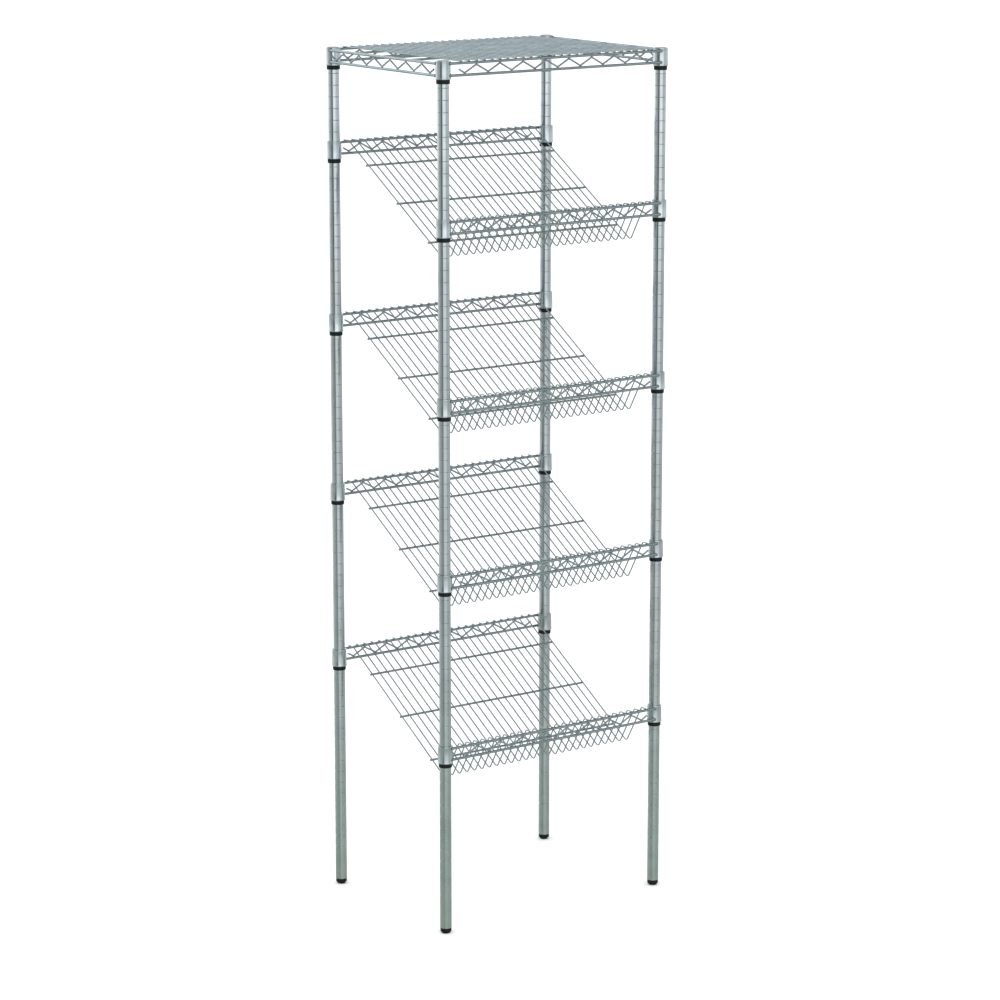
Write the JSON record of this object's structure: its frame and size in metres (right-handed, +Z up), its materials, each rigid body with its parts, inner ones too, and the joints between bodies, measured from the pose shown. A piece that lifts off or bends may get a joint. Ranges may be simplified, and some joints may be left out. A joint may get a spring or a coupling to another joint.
{
  "type": "bread rack",
  "caption": "Tall wire rack with grooved round posts, a flat top shelf and slanted wire shelves with turned-up front stops that hold bread.",
  "frame": {"origin": "on the floor, midway between the four posts", "axes": "+X to the right seen from the front, +Y to the back, +Z up"},
  "size_m": [0.6058, 0.454, 1.898],
  "materials": {
    "post_steel": "bright plated tube with rolled grooves",
    "collar_steel": "bright plated sheet",
    "truss_wire": "bright plated wire",
    "deck_wire": "bright plated thin wire",
    "foot_steel": "zinc plated",
    "sleeve_plastic": "moulded, satin black",
    "foot_plastic": "moulded, dull black",
    "cap_plastic": "moulded, grey"
  },
  "bodies": {
    "root": {"foot_inserts": "foot_steel", "post_back_left": "post_steel", "post_back_right": "post_steel", "post_caps": "cap_plastic", "post_front_left": "post_steel", "post_front_right": "post_steel", "slanted_shelf_1_sleeves": "sleeve_plastic", "slanted_shelf_2_sleeves": "sleeve_plastic", "slanted_shelf_3_sleeves": "sleeve_plastic", "slanted_shelf_4_sleeves": "sleeve_plastic", "top_shelf_sleeves": "sleeve_plastic"},
    "foot_front_left": {"foot_pad_front_left": "foot_plastic", "foot_stud_front_left": "foot_steel"},
    "foot_front_right": {"foot_pad_front_right": "foot_plastic", "foot_stud_front_right": "foot_steel"},
    "foot_back_left": {"foot_pad_back_left": "foot_plastic", "foot_stud_back_left": "foot_steel"},
    "foot_back_right": {"foot_pad_back_right": "foot_plastic", "foot_stud_back_right": "foot_steel"},
    "slanted_shelf_1": {"slanted_shelf_1_back_rails": "truss_wire", "slanted_shelf_1_back_zigzag": "truss_wire", "slanted_shelf_1_collars": "collar_steel", "slanted_shelf_1_cross_wires": "truss_wire", "slanted_shelf_1_deck_wires": "deck_wire", "slanted_shelf_1_front_rails": "truss_wire", "slanted_shelf_1_front_zigzag": "truss_wire"},
    "slanted_shelf_2": {"slanted_shelf_2_back_rails": "truss_wire", "slanted_shelf_2_back_zigzag": "truss_wire", "slanted_shelf_2_collars": "collar_steel", "slanted_shelf_2_cross_wires": "truss_wire", "slanted_shelf_2_deck_wires": "deck_wire", "slanted_shelf_2_front_rails": "truss_wire", "slanted_shelf_2_front_zigzag": "truss_wire"},
    "slanted_shelf_3": {"slanted_shelf_3_back_rails": "truss_wire", "slanted_shelf_3_back_zigzag": "truss_wire", "slanted_shelf_3_collars": "collar_steel", "slanted_shelf_3_cross_wires": "truss_wire", "slanted_shelf_3_deck_wires": "deck_wire", "slanted_shelf_3_front_rails": "truss_wire", "slanted_shelf_3_front_zigzag": "truss_wire"},
    "slanted_shelf_4": {"slanted_shelf_4_back_rails": "truss_wire", "slanted_shelf_4_back_zigzag": "truss_wire", "slanted_shelf_4_collars": "collar_steel", "slanted_shelf_4_cross_wires": "truss_wire", "slanted_shelf_4_deck_wires": "deck_wire", "slanted_shelf_4_front_rails": "truss_wire", "slanted_shelf_4_front_zigzag": "truss_wire"},
    "top_shelf": {"top_shelf_back_rails": "truss_wire", "top_shelf_back_zigzag": "truss_wire", "top_shelf_collars": "collar_steel", "top_shelf_cross_wires": "truss_wire", "top_shelf_deck_wires": "deck_wire", "top_shelf_front_rails": "truss_wire", "top_shelf_front_zigzag": "truss_wire", "top_shelf_left_rails": "truss_wire", "top_shelf_left_zigzag": "truss_wire", "top_shelf_right_rails": "truss_wire", "top_shelf_right_zigzag": "truss_wire"}
  },
  "joints": [
    {"name": "slanted_shelf_1_lift", "type": "slide", "parent": "root", "child": "slanted_shelf_1", "axis": [0, 0, 1], "range_m": [0, 0.3]},
    {"name": "slanted_shelf_2_lift", "type": "slide", "parent": "root", "child": "slanted_shelf_2", "axis": [0, 0, 1], "range_m": [0, 0.3]},
    {"name": "slanted_shelf_3_lift", "type": "slide", "parent": "root", "child": "slanted_shelf_3", "axis": [0, 0, 1], "range_m": [0, 0.3]},
    {"name": "slanted_shelf_4_lift", "type": "slide", "parent": "root", "child": "slanted_shelf_4", "axis": [0, 0, 1], "range_m": [0, 0.14]},
    {"name": "top_shelf_lift", "type": "slide", "parent": "root", "child": "top_shelf", "axis": [0, 0, 1], "range_m": [0, 0.08]},
    {"name": "foot_front_left_turn", "type": "hinge", "parent": "root", "child": "foot_front_left", "pos_m": [-0.286, -0.21, 0.02], "axis": [0, 0, 1], "continuous": true},
    {"name": "foot_front_right_turn", "type": "hinge", "parent": "root", "child": "foot_front_right", "pos_m": [0.286, -0.21, 0.02], "axis": [0, 0, 1], "continuous": true},
    {"name": "foot_back_left_turn", "type": "hinge", "parent": "root", "child": "foot_back_left", "pos_m": [-0.286, 0.21, 0.02], "axis": [0, 0, 1], "continuous": true},
    {"name": "foot_back_right_turn", "type": "hinge", "parent": "root", "child": "foot_back_right", "pos_m": [0.286, 0.21, 0.02], "axis": [0, 0, 1], "continuous": true}
  ]
}
